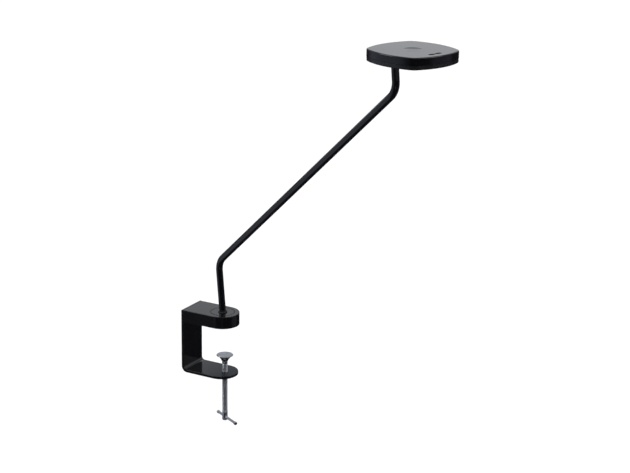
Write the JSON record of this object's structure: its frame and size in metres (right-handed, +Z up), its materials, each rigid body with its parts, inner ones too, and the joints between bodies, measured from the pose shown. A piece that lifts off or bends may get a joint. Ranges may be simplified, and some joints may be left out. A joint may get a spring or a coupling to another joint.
{
  "type": "desk lamp",
  "caption": "Clamp-on LED desk lamp: a C clamp with a thumb screw, a swivelling double-bent tube arm and a flat rounded-square light head.",
  "frame": {"origin": "on the arm's swivel axis, at the rubber face of the upper jaw that rests on the desktop", "axes": "+Z up along the arm's swivel axis, +X over the desk, away from the clamp's spine"},
  "size_m": [0.5501, 0.2152, 0.7415],
  "materials": {
    "gloss_black_paint": "high-gloss black paint on steel and cast metal",
    "gloss_black_head": "gloss black lacquer that mirrors the room on the flat top",
    "zinc_steel": "zinc-plated steel",
    "black_steel": "blackened steel fasteners",
    "bright_steel": "turned bright steel",
    "black_rubber": "matt black rubber",
    "black_plastic": "fine-textured black plastic",
    "acetal": "natural acetal bearing plastic",
    "cable_jacket": "black two-core cable jacket",
    "opal_plastic": "opal light diffuser",
    "white_board": "white-masked aluminium-core board",
    "led_package": "yellow phosphor light packages",
    "bare_aluminium": "bare sheet aluminium",
    "circuit_board": "green circuit board",
    "copper_film": "copper touch electrode",
    "key_rubber": "matt black silicone keys",
    "chrome": "bright nickel-chrome plated steel"
  },
  "bodies": {
    "clamp": {"clamp_bracket": "gloss_black_paint", "jaw_housing": "gloss_black_paint", "jaw_cover": "zinc_steel", "jaw_pad": "black_rubber", "cover_screws": "zinc_steel", "spine_screws": "black_steel", "power_inlet": "black_plastic", "stop_pin": "bright_steel", "swivel_bush": "acetal"},
    "arm": {"swivel_disc": "gloss_black_paint", "tube_grubs": "black_steel", "friction_washer": "acetal", "spring_washer": "bright_steel", "hub_nut": "zinc_steel", "arm_tube": "gloss_black_paint", "tube_collar": "black_rubber", "arm_cable": "cable_jacket", "pivot_stem": "bright_steel", "stop_washer": "bright_steel", "pivot_nut": "zinc_steel"},
    "head": {"head_tray": "black_plastic", "head_cover": "gloss_black_head", "diffuser": "opal_plastic", "led_board": "white_board", "led_packages": "led_package", "heat_spreader": "bare_aluminium", "board_screws": "zinc_steel", "head_screws": "black_steel", "control_board": "circuit_board", "control_screws": "zinc_steel", "touch_sensor": "copper_film", "pivot_bush": "acetal"},
    "dim_button": {"dim_key": "key_rubber"},
    "bright_button": {"bright_key": "key_rubber"},
    "pad": {"screw_pad": "chrome"},
    "screw": {"clamp_screw": "chrome"},
    "tommy": {"tommy_bar": "chrome", "tommy_caps": "chrome"}
  },
  "joints": [
    {"name": "arm_swivel", "type": "hinge", "parent": "clamp", "child": "arm", "pos_m": [0, 0, 0.023], "axis": [0, 0, 1], "range_deg": [-148.8, 191.2]},
    {"name": "head_swivel", "type": "hinge", "parent": "arm", "child": "head", "pos_m": [0.40488, -0.15704, 0.539], "axis": [0, 0, 1], "range_deg": [-253.7, 66.3]},
    {"name": "dim_press", "type": "slide", "parent": "head", "child": "dim_button", "axis": [0, 0, -1], "range_m": [0, 0.0008], "stiffness_N_per_m": 1500},
    {"name": "bright_press", "type": "slide", "parent": "head", "child": "bright_button", "axis": [0, 0, -1], "range_m": [0, 0.0008], "stiffness_N_per_m": 1500},
    {"name": "screw_travel", "type": "slide", "parent": "clamp", "child": "pad", "axis": [0, 0, 1], "range_m": [-0.0205, 0.057]},
    {"name": "screw_turn", "type": "hinge", "parent": "pad", "child": "screw", "pos_m": [0.0045, 0, -0.09], "axis": [0, 0, 1], "range_deg": [-4920, 13680]},
    {"name": "tommy_slide", "type": "slide", "parent": "screw", "child": "tommy", "axis": [0.8829, -0.4695, 0], "range_m": [-0.0297, 0.0157]}
  ],
  "couplings": [
    {"joint": "screw_travel", "follows": "screw_turn", "m_per_rad": 0.00023873}
  ]
}
